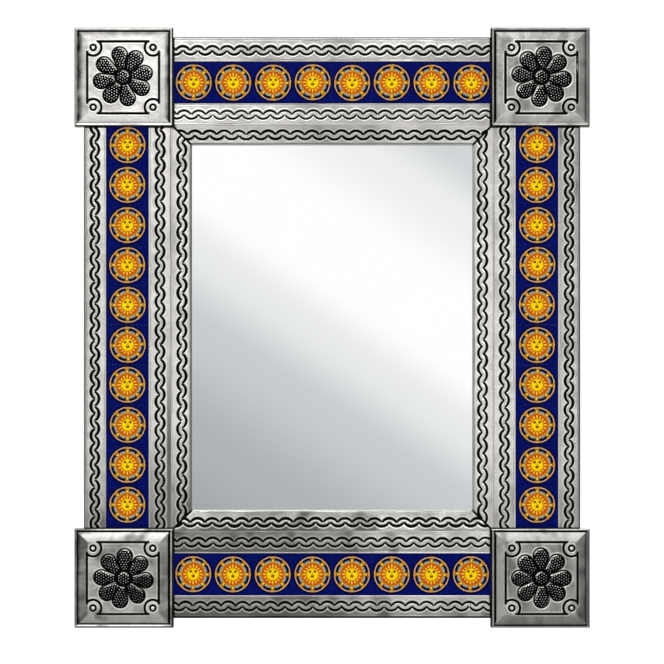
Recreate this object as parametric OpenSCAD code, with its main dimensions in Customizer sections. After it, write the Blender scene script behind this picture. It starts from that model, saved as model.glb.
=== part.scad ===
// Wall mirror in a folded tin frame set with glazed tiles.
// Millimetres, +Z up, the front faces -Y. The wall is the plane y = 0, and the origin is
// the middle of the back plate on that plane.

/* [Tiles] */
// Length of a tile along its bar
tile_len = 50.2; // [46:0.1:54]
// Width of a tile across its bar, with the edges that the lips hide
tile_w = 56; // [50:0.1:60]
// Thickness of a tile
tile_t = 6.5; // [5:0.1:8]
// Bevel round the glazed face of a tile
tile_bevel = 0.8; // [0.4:0.1:1.2]
// Joint between two tiles of the top and bottom bars
row_joint = 0.2; // [0.1:0.05:1]
// Joint between two tiles of the side bars
side_joint = 0.86; // [0.1:0.02:1.2]
// Play between a tile and the side walls of its tray
tile_play = 0.3; // [0.2:0.1:0.8]

/* [Tin bars] */
// Thickness of the tin sheet
sheet_t = 0.6; // [0.4:0.05:0.9]
// Height of the bars' front above the wall
bar_depth = 20; // [17:0.5:26]
// Width of the outer strip
outer_strip_w = 29; // [24:0.1:34]
// Width of the inner strip, from the fold to the edge of its lip
inner_strip_w = 28.4; // [24:0.1:34]
// How far a lip reaches over a tile
lip_lap = 1.35; // [0.9:0.05:2]
// Height of the inner strip's flange at the fold
flange_h = 8; // [4:0.5:11]
// How far a bar runs in under a corner cap
bar_tuck = 12; // [6:0.5:20]

/* [Wave ornament] */
// Distance along a strip from one groove to the next in its row
wave_pitch = 18.5; // [17:0.1:22]
// Distance between the crests of the two rows of grooves
wave_band = 11.2; // [10:0.1:13]
// Radius of a groove's middle line
wave_r = 10; // [8:0.1:11]
// Half the angle that a groove turns through
wave_angle = 54; // [40:1:58]
// Width of a groove
wave_w = 2; // [1.4:0.1:2.4]
// Depth of a groove
wave_d = 0.3; // [0.15:0.05:0.35]

/* [Mouldings] */
// Width of the sloping moulding, from the fold to the glass it shows
moulding_w = 26; // [20:0.5:32]
// Width of the rolled edge on the glass
hem_w = 2; // [1.5:0.1:3]
// Height of the rolled edge above the glass
hem_h = 2.4; // [1.8:0.1:3.5]
// Gap between two mouldings in their mitre
mitre_gap = 0.3; // [0.1:0.05:0.8]

/* [Corner caps] */
// How far a cap reaches past the fold lines, towards the glass
cap_lap = 2.9; // [1.5:0.1:5]
// How far a cap stands out past the bars' outer edges
cap_overhang = 11.7; // [6:0.1:16]
// Height of a cap's rim above the bars' front
cap_rise = 5; // [3:0.5:9]
// Width of a cap's rim
rim_w = 3.6; // [2.5:0.1:5]
// Width of the groove inside the rim
rim_groove_w = 1.8; // [1:0.1:3]
// Depth of the groove inside the rim
rim_groove_d = 0.8; // [0.4:0.1:1.2]
// Width of the sloping border inside the groove
border_w = 10; // [7:0.5:13]
// Height of the raised panel above the bottom of the groove
panel_h = 1.4; // [0.8:0.1:2.2]
// Play between a cap's notches and the bars
notch_play = 0.15; // [0.1:0.05:0.4]

/* [Embossing on the caps] */
// Distance from the panel's edge to the scribed frame line
frame_inset = 1.2; // [0.8:0.1:3]
// Width of the scribed frame line
line_w = 2; // [1:0.1:2.6]
// Depth of the scribed frame line
line_d = 0.3; // [0.15:0.05:0.35]
// Distance from the frame line to the middle of a boss
boss_inset = 8; // [6:0.1:9]
// Radius of the arc that the frame line makes round a boss
boss_arc_r = 10.2; // [9.5:0.1:11.5]
// Radius of a boss
boss_r = 2.6; // [2:0.1:3.5]
// Height of a boss
boss_h = 1.1; // [0.6:0.1:1.5]
// Radius of the rosette at the tips of its petals
rosette_r = 38.5; // [30:0.5:41]
// Radius of a petal's round end
petal_r = 9.8; // [7:0.1:11]
// Height of the petals above the panel
petal_h = 1.2; // [0.6:0.1:1.6]
// Radius of the rosette's middle
heart_r = 8.8; // [6:0.1:10]
// Height of the rosette's middle above the panel
heart_h = 2.2; // [1.4:0.1:3]

/* [Glass and back] */
// Thickness of the mirror glass
glass_t = 3; // [2:0.5:4]
// Thickness of the board behind the glass
board_t = 3; // [2:0.5:5]
// Play between the glass and the tabs round it
glass_play = 0.6; // [0.3:0.1:2]
// How far the back plate reaches past the fold lines
plate_lap = 6; // [3:0.5:12]
// Width of a glass tab
tab_w = 18; // [10:1:30]
// Length of a glass tab's foot under the board
tab_foot = 20; // [12:1:30]
// Height of a glass tab's leg
tab_leg = 6; // [3:0.5:9]

/* [Hangers] */
// Distance from the middle to each hanger
hanger_x = 130; // [80:5:170]
// Height of the hangers' pins above the middle line of the top tiles
hanger_rise = 12; // [5:1:20]
// Diameter of the hanger wire
wire_d = 3; // [2:0.1:4]
// Play between the wire and its barrel, on the radius
pin_play = 0.05; // [0.02:0.01:0.1]
// Wall of the barrel that the strap is rolled into
barrel_wall = 0.8; // [0.6:0.1:1.2]
// Width of a hanger strap
strap_w = 20; // [14:1:26]
// Length of a hanger strap above its barrel
strap_len = 22; // [15:1:30]
// Gap between the strap and each leg of the ring
leg_gap = 2; // [1:0.5:4]
// Length of a ring's straight legs
leg_len = 10; // [6:1:16]

/* [Hidden] */
$fn = 64;
eps = 0.01;
row_tiles = 8;
side_tiles = 10;
sides = ["top", "bottom", "left", "right"];
corners = ["top_left", "top_right", "bottom_left", "bottom_right"];
petals = 8;
// Turn of each rosette, as the hand that punched it left them
rosette_turn = [-11.7, -5.7, -4, -1.2];

// Distances across a bar, from the glass that shows outwards
fold_t = moulding_w;
lip_in_t = fold_t + inner_strip_w;
tile_in_t = lip_in_t - lip_lap;
tile_out_t = tile_in_t + tile_w;
lip_out_t = tile_out_t - lip_lap;
bar_out_t = lip_out_t + outer_strip_w;
tile_mid_t = (tile_in_t + tile_out_t) / 2;
tray_in_t = tile_in_t - tile_play;
tray_out_t = tile_out_t + tile_play;

// Heights above the wall
tab_front = 2 * sheet_t;
board_front = tab_front + board_t;
glass_front = board_front + glass_t;
tile_front = bar_depth - sheet_t;
floor_front = tile_front - tile_t;
floor_back = floor_front - sheet_t;
rim_front = bar_depth + cap_rise;
groove_front = rim_front - rim_groove_d;
panel_front = groove_front + panel_h;

// Half lengths in the plane of the wall
row_pitch = tile_len + row_joint;
side_pitch = tile_len + side_joint;
cap_x = row_tiles * row_pitch / 2;
cap_z = side_tiles * side_pitch / 2;
open_x = cap_x + cap_lap - fold_t;
open_z = cap_z + cap_lap - fold_t;
cap_size = cap_lap + bar_out_t - fold_t + cap_overhang;
cap_mid_x = cap_x + cap_size / 2;
cap_mid_z = cap_z + cap_size / 2;
notch_len = cap_lap + bar_out_t - fold_t + notch_play;
glass_over = fold_t - 2 * sheet_t - glass_play;

// The cap's face
border_out = cap_size / 2 - rim_w - rim_groove_w;
panel_half = border_out - border_w;
line_half = panel_half - frame_inset;
boss_at = line_half - boss_inset;

// The hangers
bore_r = wire_d / 2 + pin_play;
barrel_r = bore_r + barrel_wall;
barrel_depth = floor_back - barrel_r;
hanger_z = open_z + tile_mid_t + hanger_rise;
ring_half = strap_w / 2 + leg_gap + wire_d / 2;

function is_row(side) = side == "top" || side == "bottom";
function side_angle(side) = side == "right" ? 0 : side == "left" ? 180 : side == "top" ? -90 : 90;
function open_half(side) = is_row(side) ? open_z : open_x;
function run_half(side) = is_row(side) ? cap_x : cap_z;

// Puts a shape drawn for the right-hand bar on any bar. There x is the distance outwards
// from the glass that shows, -y the height above the wall and z the place along the bar.
module on_side(side)
  rotate([0, side_angle(side), 0])
    translate([open_half(side), 0, 0])
      children();

// A length of folded sheet, from points that give distance across and height above the wall
module sheet_length(points, length)
  linear_extrude(height = length, center = true)
    polygon([for (p = points) [p[0], -p[1]]]);

// Puts a cap drawn round its own middle on its corner
module on_corner(corner) {
  sx = corner == "top_left" || corner == "bottom_left" ? -1 : 1;
  sz = corner == "top_left" || corner == "top_right" ? 1 : -1;
  translate([sx * cap_mid_x, 0, sz * cap_mid_z])
    mirror([sx < 0 ? 1 : 0, 0, 0])
      mirror([0, 0, sz < 0 ? 1 : 0])
        children();
}

// An upright plate drawn in the plane of the wall, between two heights above the wall
module relief(low, high)
  translate([0, -low, 0])
    rotate([90, 0, 0])
      linear_extrude(height = high - low)
        children();

module tile(length, width) {
  half = length / 2;
  color("midnightblue")
    intersection() {
      sheet_length([
        [tile_in_t, floor_front],
        [tile_in_t, tile_front - tile_bevel],
        [tile_in_t + tile_bevel, tile_front],
        [tile_in_t + width - tile_bevel, tile_front],
        [tile_in_t + width, tile_front - tile_bevel],
        [tile_in_t + width, floor_front]
      ], length);
      translate([tile_in_t, 0, 0])
        rotate([0, 90, 0])
          linear_extrude(height = width)
            polygon([
              [-half, -floor_front],
              [-half, tile_bevel - tile_front],
              [tile_bevel - half, -tile_front],
              [half - tile_bevel, -tile_front],
              [half, tile_bevel - tile_front],
              [half, -floor_front]
            ]);
    }
}

// Tiles are counted from the left in the rows and from the top in the columns
module row_tile(side, i)
  on_side(side)
    translate([0, 0, (side == "top" ? -1 : 1) * (i - (row_tiles + 1) / 2) * row_pitch])
      tile(tile_len, tile_w);

module side_tile(side, i)
  on_side(side)
    translate([0, 0, (side == "left" ? 1 : -1) * (i - (side_tiles + 1) / 2) * side_pitch])
      tile(tile_len, tile_w);

// Two rows of curved grooves, half a pitch apart, that leave a winding ridge between them.
// They are cut into a face at y = 0 and run along z, with their middle line at x = 0.
module wave_grooves(half_length) {
  count = floor(half_length / wave_pitch);
  for (i = [-count : count], row = [0, 1])
    translate([0, 0, (i + row / 2) * wave_pitch])
      mirror([row, 0, 0])
        translate([wave_band / 2 - wave_r, 0, 0])
          rotate([90, 0, 0])
            rotate([0, 0, -wave_angle])
              rotate_extrude(angle = 2 * wave_angle)
                translate([wave_r - wave_w / 2, -wave_d])
                  square([wave_w, wave_d + 1]);
}

// Outer wall, outer strip with its lip, and the tray that the tiles lie in
module outer_channel(side)
  color("silver")
    on_side(side)
      difference() {
        sheet_length([
          [bar_out_t, 0],
          [bar_out_t, bar_depth],
          [lip_out_t, bar_depth],
          [lip_out_t, tile_front],
          [tray_out_t, tile_front],
          [tray_out_t, floor_front],
          [tray_in_t, floor_front],
          [tray_in_t, tile_front],
          [tray_in_t - sheet_t, tile_front],
          [tray_in_t - sheet_t, floor_back],
          [tray_out_t + sheet_t, floor_back],
          [tray_out_t + sheet_t, tile_front],
          [bar_out_t - sheet_t, tile_front],
          [bar_out_t - sheet_t, 0]
        ], 2 * (run_half(side) + bar_tuck));
        translate([(lip_out_t + bar_out_t) / 2, -bar_depth, 0])
          wave_grooves(run_half(side));
      }

// Strip with a lip over the tiles and a flange down the fold
module inner_strip(side)
  color("lightgray")
    on_side(side)
      difference() {
        sheet_length([
          [lip_in_t, bar_depth],
          [fold_t, bar_depth],
          [fold_t, bar_depth - flange_h],
          [fold_t + sheet_t, bar_depth - flange_h],
          [fold_t + sheet_t, tile_front],
          [lip_in_t, tile_front]
        ], 2 * (run_half(side) + cap_lap));
        translate([(fold_t + lip_in_t) / 2, -bar_depth, 0])
          wave_grooves(run_half(side));
      }

// Slope from the fold to the glass, with a rolled edge on the glass and a wall to the back
module inner_moulding(side) {
  rise = bar_depth - glass_front - hem_h;
  slope = atan2(rise, fold_t - hem_w);
  under = sheet_t / cos(slope);
  short_half = run_half(side) + cap_lap - fold_t;
  long_half = short_half + fold_t;
  corner_y = glass_front + hem_h / 2;
  color("gainsboro")
    on_side(side)
      difference() {
        intersection() {
          sheet_length([
            [0, glass_front],
            [0, corner_y],
            [hem_w, glass_front + hem_h],
            [fold_t, bar_depth],
            [fold_t, sheet_t],
            [fold_t - sheet_t, sheet_t],
            [fold_t - sheet_t, bar_depth - under - sheet_t * tan(slope)],
            [hem_w + sheet_t / 2, glass_front + hem_h - under + sheet_t / 2 * tan(slope)],
            [sheet_t, corner_y - sheet_t / 4],
            [sheet_t, glass_front]
          ], 2 * long_half);
          rotate([90, 0, 0])
            linear_extrude(height = bar_depth + eps)
              polygon([
                [-eps, mitre_gap / 2 - short_half],
                [-eps, short_half - mitre_gap / 2],
                [fold_t + eps, long_half - mitre_gap / 2],
                [fold_t + eps, mitre_gap / 2 - long_half]
              ]);
        }
        translate([(hem_w + fold_t) / 2, rise / 2 - bar_depth, 0])
          rotate([0, 0, -slope])
            wave_grooves(long_half);
      }
}

// A block whose four sides lean in towards its front
module frustum(low_half, high_half, low, high)
  intersection() {
    linear_extrude(height = 2 * low_half, center = true)
      polygon([[-low_half, -low], [low_half, -low], [high_half, -high], [-high_half, -high]]);
    rotate([0, 90, 0])
      linear_extrude(height = 2 * low_half, center = true)
        polygon([[-low_half, -low], [low_half, -low], [high_half, -high], [-high_half, -high]]);
  }

// Square with a bite round each boss
module notched_square(half, bite_r)
  difference() {
    square(2 * half, center = true);
    for (sx = [-1, 1], sy = [-1, 1])
      translate([sx * boss_at, sy * boss_at]) {
        circle(r = bite_r);
        translate([sx * bite_r / 2, sy * bite_r / 2])
          square(bite_r, center = true);
      }
  }

module petal() {
  reach = rosette_r - petal_r;
  root = heart_r / 2;
  translate([reach, 0])
    circle(r = petal_r);
  polygon([
    [root, -root / 2],
    [reach - petal_r / 4, -petal_r * 0.96],
    [reach - petal_r / 4, petal_r * 0.96],
    [root, root / 2]
  ]);
}

// A low dome on the panel
module dome(r, h) {
  ball_r = (r * r + h * h) / (2 * h);
  intersection() {
    translate([0, ball_r - h - panel_front, 0])
      sphere(r = ball_r);
    relief(panel_front - sheet_t / 2, panel_front + h)
      circle(r = r);
  }
}

// The rosette, its middle and the four bosses, round the cap's middle
module embossing(turn) {
  for (i = [0 : petals - 1])
    relief(panel_front - sheet_t / 2, panel_front + petal_h)
      rotate(turn + 90 + i * 360 / petals)
        petal();
  dome(heart_r, heart_h);
  for (sx = [-1, 1], sz = [-1, 1])
    translate([sx * boss_at, 0, sz * boss_at])
      dome(boss_r, boss_h);
}

// Box of sheet, open at the back, with a rim, a groove, a sloping border and a raised panel
module cap_box() {
  half = cap_size / 2;
  difference() {
    union() {
      relief(0, groove_front)
        square(2 * half, center = true);
      relief(groove_front - eps, rim_front)
        difference() {
          square(2 * half, center = true);
          square(2 * (half - rim_w), center = true);
        }
      frustum(border_out, panel_half, groove_front - eps, panel_front);
    }
    relief(-1, groove_front - sheet_t)
      square(2 * (half - sheet_t), center = true);
    frustum(border_out, panel_half, groove_front - sheet_t - eps, panel_front - sheet_t);
    relief(panel_front - line_d, panel_front + 1)
      difference() {
        notched_square(line_half, boss_arc_r);
        notched_square(line_half - line_w, boss_arc_r + line_w);
      }
  }
}

// Notch in the wall that a bar runs in under, drawn for the bar below the cap
module bar_notch()
  translate([-cap_size / 2 - 1, -bar_depth, -cap_size / 2 - 1])
    cube([notch_len + 1, bar_depth + 1, sheet_t + 1.5]);

module corner_cap(k)
  color("darkgray")
    on_corner(corners[k]) {
      difference() {
        cap_box();
        bar_notch();
        rotate([0, -90, 0])
          mirror([0, 0, 1])
            bar_notch();
      }
      embossing(rosette_turn[k]);
    }

module mirror_glass()
  color("aliceblue")
    translate([-open_x - glass_over, -glass_front, -open_z - glass_over])
      cube([2 * (open_x + glass_over), glass_t, 2 * (open_z + glass_over)]);

module backing_board()
  color("tan")
    translate([-open_x - glass_over, -board_front, -open_z - glass_over])
      cube([2 * (open_x + glass_over), board_t, 2 * (open_z + glass_over)]);

module back_plate() {
  half_x = open_x + fold_t + plate_lap;
  half_z = open_z + fold_t + plate_lap;
  color("lightslategray")
    translate([-half_x, -sheet_t, -half_z])
      cube([2 * half_x, sheet_t, 2 * half_z]);
}

module glass_tab() {
  wall_t = fold_t - sheet_t;
  sheet_length([
    [wall_t, sheet_t],
    [wall_t, sheet_t + tab_leg],
    [wall_t - sheet_t, sheet_t + tab_leg],
    [wall_t - sheet_t, tab_front],
    [wall_t - tab_foot, tab_front],
    [wall_t - tab_foot, sheet_t]
  ], tab_w);
}

// Two tabs on the short sides and three on the long ones
module glass_tabs()
  color("gray")
    for (side = sides, place = is_row(side) ? [-1, 1] : [-1, 0, 1])
      on_side(side)
        translate([0, 0, place * open_half(is_row(side) ? "left" : "top") / 2])
          glass_tab();

// Strap soldered to the back of the tray, rolled round the ring's pin at its lower end
module hanger_strap(sx)
  color("dimgray")
    translate([sx * hanger_x, -barrel_depth, hanger_z])
      difference() {
        union() {
          rotate([0, 90, 0])
            cylinder(r = barrel_r, h = strap_w, center = true);
          translate([-strap_w / 2, -barrel_r, 0])
            cube([strap_w, sheet_t, strap_len]);
        }
        rotate([0, 90, 0])
          cylinder(r = bore_r, h = strap_w + 2, center = true);
      }

// Wire ring: a straight pin, two legs and a half circle below
module hanger_ring(sx)
  color("slategray")
    translate([sx * hanger_x, -barrel_depth, hanger_z]) {
      rotate([0, 90, 0])
        cylinder(d = wire_d, h = 2 * ring_half, center = true);
      for (side = [-1, 1]) {
        translate([side * ring_half, 0, 0])
          sphere(d = wire_d);
        translate([side * ring_half, 0, -leg_len])
          cylinder(d = wire_d, h = leg_len);
      }
      translate([0, 0, -leg_len])
        rotate([90, 180, 0])
          rotate_extrude(angle = 180)
            translate([ring_half, 0])
              circle(d = wire_d);
    }

for (i = [1 : row_tiles]) {
  row_tile("top", i);
  row_tile("bottom", i);
}
for (i = [1 : side_tiles]) {
  side_tile("left", i);
  side_tile("right", i);
}
for (side = sides) {
  outer_channel(side);
  inner_strip(side);
  inner_moulding(side);
}
for (k = [0 : 3])
  corner_cap(k);
mirror_glass();
backing_board();
back_plate();
glass_tabs();
hanger_strap(-1);  // hanger_strap_left
hanger_strap(1);  // hanger_strap_right
hanger_ring(-1);  // hanger_ring_left
hanger_ring(1);  // hanger_ring_right
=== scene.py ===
# Talavera tile mirror: punched tin, glazed tiles, mirror glass and back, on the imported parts.
# Sizes are in millimetres unless a line says otherwise. On a side of the frame, t is the distance
# outwards from the glass that shows, d the height above the wall and u the place along the side.
import math
from functools import partialmethod

import bpy
import numpy as np
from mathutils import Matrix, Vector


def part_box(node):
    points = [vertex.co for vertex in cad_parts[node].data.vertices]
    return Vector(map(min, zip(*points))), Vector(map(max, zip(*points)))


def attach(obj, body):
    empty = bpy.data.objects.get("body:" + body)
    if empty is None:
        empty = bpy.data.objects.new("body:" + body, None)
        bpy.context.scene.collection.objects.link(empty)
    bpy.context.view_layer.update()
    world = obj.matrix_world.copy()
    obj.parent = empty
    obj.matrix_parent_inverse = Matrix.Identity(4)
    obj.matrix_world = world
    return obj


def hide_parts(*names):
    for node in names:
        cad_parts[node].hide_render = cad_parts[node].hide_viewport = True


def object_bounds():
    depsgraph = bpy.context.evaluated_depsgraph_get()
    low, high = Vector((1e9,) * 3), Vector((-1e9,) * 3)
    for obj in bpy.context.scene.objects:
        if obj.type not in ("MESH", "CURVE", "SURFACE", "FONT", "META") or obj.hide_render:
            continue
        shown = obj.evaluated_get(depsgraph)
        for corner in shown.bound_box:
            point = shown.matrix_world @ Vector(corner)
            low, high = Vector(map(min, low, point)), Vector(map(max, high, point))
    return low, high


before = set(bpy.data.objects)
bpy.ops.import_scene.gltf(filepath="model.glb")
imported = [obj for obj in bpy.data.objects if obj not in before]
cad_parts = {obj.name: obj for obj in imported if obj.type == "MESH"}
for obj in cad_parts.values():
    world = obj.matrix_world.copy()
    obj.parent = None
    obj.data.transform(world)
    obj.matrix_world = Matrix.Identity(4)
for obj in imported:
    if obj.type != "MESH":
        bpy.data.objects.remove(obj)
cad_box = [list(corner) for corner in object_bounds()]

MM = 0.001
X, Y, Z = 0, 1, 2
SIDES = ("top", "bottom", "left", "right")
LEVEL = ("top", "bottom")
KINDS = ("outer", "inner", "moulding")
CORNERS = ("top_left", "top_right", "bottom_left", "bottom_right")
STEP = 1


def span(node, axis):
    """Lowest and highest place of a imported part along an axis."""
    low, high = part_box(node)
    return low[axis] / MM, high[axis] / MM


def table(columns, rows):
    """Each row of numbers with the names in columns."""
    return {key: dict(zip(columns.split(), row)) for key, row in rows.items()}


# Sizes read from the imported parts
open_x, fold_x = span("inner_moulding_right", X)
open_z = span("inner_moulding_top", Z)[0]
fold_t = fold_x - open_x
lip_in_t = span("inner_strip_right", X)[1] - open_x
tile_in_t, tile_out_t = [x - open_x for x in span("tile_right_1", X)]
bar_out_t = span("outer_channel_right", X)[1] - open_x
lip_out_t = tile_out_t - (lip_in_t - tile_in_t)
sheet_t = -span("back_plate", Y)[0]
bar_depth = -span("outer_channel_right", Y)[0]
tile_front = -span("tile_right_1", Y)[0]
floor_front = -span("tile_right_1", Y)[1]
floor_back = floor_front - sheet_t
tray_in_t = span("outer_channel_right", X)[0] - open_x + sheet_t
tray_out_t = tile_out_t + tile_in_t - tray_in_t
glass_front = -span("mirror_glass", Y)[0]
cap_in_x, cap_out_x = span("corner_cap_top_right", X)
cap_in_z = span("corner_cap_top_right", Z)[0]
cap_half = (cap_out_x - cap_in_x) / 2
cap_top = -span("corner_cap_top_right", Y)[0]

# Sizes of the finish, measured on the photograph. The fronts are heights above the wall
rim_front = bar_depth + 5
groove_front = rim_front - 0.8
panel_front = groove_front + 1.4
border_w = 12.0
frame_line = 45.6
boss_at = 37.9
boss_arc_r = 10.4
boss_r = 2.3
boss_ring_r = 4.8
petal_tip = 38.7
petal_end_r = 10.6
petal_root_r = 6.3
petal_root_at = 14.0
heart_r = 9.7
heart_h = 1.9
petal_h = 1.1
dot_pitch = 3.45
dot_row = 0.87 * dot_pitch
dot_r = 0.52
dot_lit_r = 0.36
dot_h = 0.22
# How far a cap reaches out past the notches in its walls that the bars run in through
cap_past_bar = 11.55
hem_w = 2.0
hem_h = 2.4
slope = math.atan2(bar_depth - glass_front - hem_h, fold_t - hem_w)
# The lip over the upper edge of the top bar's tiles is wider than the other lips, and the top bar's
# lower lip and the outer lips of the side bars are narrower
top_lip_more = 1.9
low_lip_less = 1.3
side_lip_less = 0.95
# The tiles of the side bars stand a little high
column_top = 232.0
column_pitch = 50.78
tile_gap = 0.1
tile_soft = 0.35

# The punched waves: the radius of their arcs, the depth of a groove, and for the level strips and the
# side strips how far the crests are from the middle, half the angle of an arc and half its line's width
wave_r = 10.0
groove_depth = 0.55
ROW_WAVE = (5.4, math.radians(56.5), 1.7)
SIDE_WAVE = (5.15, math.radians(56), 1.9)
rope_sway = 1.9
rope_half_w = 2.0
most_shade = 0.66
station_w = 0.58

# Each strip: the pitch of its waves and the place from the middle of its side of a crest of the upper
# row, or of the left row on the sides; how far the waves lie inwards of the strip's middle, how much
# further apart their crests are and how much wider their lines; how bright the tin is, the darker ones
# in painted shade, and how cloudy; how bright the painted highlight on the lip beside the tiles is; and
# how much painted shade lies on the strip at its left or lower end, at the quarters and at its other end
STRIPS = table("pitch crest inwards apart wider tone mottle lip_light soot", {
    ("outer", "top"): (18.52, -4.14, 1.0, 0, 0, 0.89, 0.8, 0, (0.12, 0.3, 0.26, 0.14, 0.38)),
    ("inner", "top"): (18.24, -5.56, 1.25, -0.1, -0.3, 0.88, 0.5, 0, (0, 0.2, 0.3, 0.27, 0.3)),
    ("moulding", "top"): (18.66, -6.71, 1.3, 0.3, 0.25, 0.92, 0.4, 0, (0, 0.15, 0.32, 0.1, 0.1)),
    ("moulding", "bottom"): (18.75, -2.34, -1.2, 0, 0.3, 0.8, 1.2, 0, (0.26, 0.44, 0.3, 0, 0.17)),
    ("inner", "bottom"): (18.23, -5.73, 0, 0.05, 0, 0.98, 0.8, 1, (0.5, 0.55, 0.45, 0.08, 0)),
    ("outer", "bottom"): (17.98, -5.92, 0.5, 0, 0, 0.96, 0.7, 1, (0.55, 0.53, 0.45, 0, 0.23)),
    ("outer", "left"): (18.65, -6.64, -0.4, 0, 0.1, 1, 0.3, 0.2, (0.55, 0, 0.1, 0.16, 0)),
    ("inner", "left"): (18.18, -3.49, 0.2, 0.2, 0, 1, 0.25, 0.8, (0.6, 0.05, 0.1, 0.08, 0)),
    ("moulding", "left"): (19.16, 5.46, 1.65, 0.6, 0.2, 1, 0.4, 0, (0.6, 0.12, 0.12, 0.12, 0)),
    ("moulding", "right"): (18.18, 3.37, 1.35, 0.75, 0, 1, 0.25, 0, (0.28, 0, 0, 0.12, 0.3)),
    ("inner", "right"): (18.43, 9.06, -0.15, 0.2, 0, 1, 0.25, 1, (0.32, 0, 0.05, 0.14, 0.32)),
    ("outer", "right"): (18.47, 6.07, 0, 0, 0, 1, 0.5, 1, (0.42, 0.08, 0.18, 0.33, 0.44)),
})
# The sheets of each side: how dull they are, how much they are arched across, how dark the clouds on
# them are, how much more painted shade lies on their outer half, how much painted shade lies on the
# bar's outer edge, how much on the fold between strip and moulding and the edge along the glass at
# the lower end, and which side of a groove gets the brighter painted highlight: the lower side above 0.5
SHEETS = table("dullness camber clouds low_soot edge_soot fold_soot lit_below", {
    "top": (0.32, 0, 0.06, 0, 0, 0, 0.5),
    "bottom": (0.34, 0.3, 0.16, 0.22, 0.1, 0, 0.75),
    "left": (0.24, 0, 0.1, 0, 0.5, 0.68, 0.5),
    "right": (0.24, 0, 0.1, 0, 0.6, 0, 0.5),
})
# The rolled edges of each side, on both sides of the fold between strip and moulding, along the glass
# and on the bar's outer edge: how wide the roll is, how black the line at the edge, as painted shade,
# and how bright the roll, as a painted highlight. Then how black and how bright the hem at the glass
# is, as painted shade and highlight, and how far off the tiles' middles the suns are
EDGES = table("strip_fold moulding_fold glass_edge bar_edge hem suns", {
    "top": ((1, 0.35, 0.7), (1, 0.3, 0.6), (0.9, 0.65, 0.4), (2.6, 0.95, 0.6), (0.38, 0), (-0.4, 1.9)),
    "bottom": ((1, 0, 1), (1, 0.3, 0.3), (0.9, 0.1, 0.6), (2.6, 2.1, 0.5), (0.12, 0.4), (0, 0)),
    "left": ((1, 0.7, 0.6), (1, 0.2, 1), (0.9, 0.6, 0.4), (2.6, 0.95, 0.1), (0.64, 0), (0.4, 0)),
    "right": ((1, 0.5, 0.6), (1.2, 0, 1), (0.9, 0.6, 0.5), (2.6, 0.95, 0.0), (0.42, 0), (-0.8, 0)),
})
# Each side of each cap: how far its groove is from the edge, half the groove's width, how black it is
# (patina, deeper as painted shade on the sides where the groove lies in shade), how bright the rim
# outside it is as a painted highlight (painted shade below 0), how much painted shade lies on the border
# beside it, how bright the border is painted as a highlight and how black the edge itself is, as
# painted shade
CAP_SIDES = {
    "top_left": {
        "top": (4.2, 1.2, 1.2, 0.0, 0.42, 0.0, 0.0),
        "bottom": (4.6, 0.5, 0.1, 0.1, 0.15, 0.4, 1.0),
        "left": (4.4, 1.2, 0.4, -0.45, 0.72, 0.0, 0.0),
        "right": (5.0, 1.1, 1.3, -0.1, 0.66, 0.0, 1.0),
    },
    "top_right": {
        "top": (4.0, 1.2, 1.2, 0.1, 0.0, 0.0, 0.0),
        "bottom": (4.6, 0.5, 0.1, 0.3, 0.0, 0.3, 1.0),
        "left": (5.2, 1.4, 1.3, 0.0, 0.2, 0.0, 1.0),
        "right": (5.0, 1.0, 0.7, -0.5, 0.5, 0.1, 0.0),
    },
    "bottom_left": {
        "top": (3.1, 1.1, 1.2, 1.0, 0.0, 0.75, 0.0),
        "bottom": (4.9, 0.9, 0.9, 0.9, 0.3, 0.5, 0.9),
        "left": (3.9, 0.9, 0.9, -0.5, 0.62, 0.0, 0.0),
        "right": (5.1, 1.5, 1.3, 0.0, 0.5, 0.0, 1.0),
    },
    "bottom_right": {
        "top": (3.0, 1.1, 1.3, 1.0, 0.0, 0.45, 0.0),
        "bottom": (3.0, 0.9, 1.2, 0.7, 0.35, 0.0, 0.5),
        "left": (5.4, 1.4, 1.3, 0.0, 0.2, 0.3, 1.0),
        "right": (5.0, 1.0, 0.75, -0.5, 0.6, 0.0, 0.0),
    },
}
# Each cap: how far the scribed frame and then the rosette are off its middle, which way the lit rims
# of the rosette lean (to the right above 0), how far the painted shade beside the rim reaches up the
# border (from 0 for fading to 1 for all over), how dark the stains are, how far the border rises, and
# how bright and how cloudy the tin is, the right-hand caps darker as painted shade
CAPS = table("frame_x frame_z off_x off_z lean spread stains rise tone mottle", {
    "top_left": (-0.9, -0.5, -1.3, 0.5, 0.7, 0.3, 0.12, 0.4, 0.93, 0.7),
    "top_right": (1.2, -0.5, 1.6, 0.4, -0.7, 0.6, 0.2, 1.2, 0.58, 1.1),
    "bottom_left": (-1.1, 0.3, -0.4, 0.0, 0.1, 0.8, 0.3, 1.4, 0.84, 1.4),
    "bottom_right": (1.6, 0.3, 1.4, 0.5, -0.6, 0.75, 0.2, 1.4, 0.55, 1.2),
})
# The directions of the petals on each cap, in degrees clockwise from up
PETALS = {
    "top_left": (-8, 35, 81, 121, 167, 213, 258, 303),
    "top_right": (5.7, 50, 96, 140, 186, 231, 276, 321),
    "bottom_left": (3.3, 48.9, 94.9, 140.5, 188.7, 228.7, 272.5, 318.2),
    "bottom_right": (-1.4, 43.6, 90, 133.6, 180, 227, 270, 313.6),
}

# The photograph: its side in pixels, millimetres to a pixel at the bars' front, and the object's middle
picture_side = 664
pixel = 1.27
middle_px = (332.1, 327.7)
# The studio: the camera's distance, how far the floor is below the mirror and how far it reaches, in
# metres, the plain light all round, and the light of the room that only the metal sees
camera_distance = 4.0
floor_gap = 0.3
floor_reach = 9.0
plain_light = 0.82
wall_light = 0.55
ceiling_light = 0.45
wing_light = 0.55
flank_light = 0.22
far_light = 0.14


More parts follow.
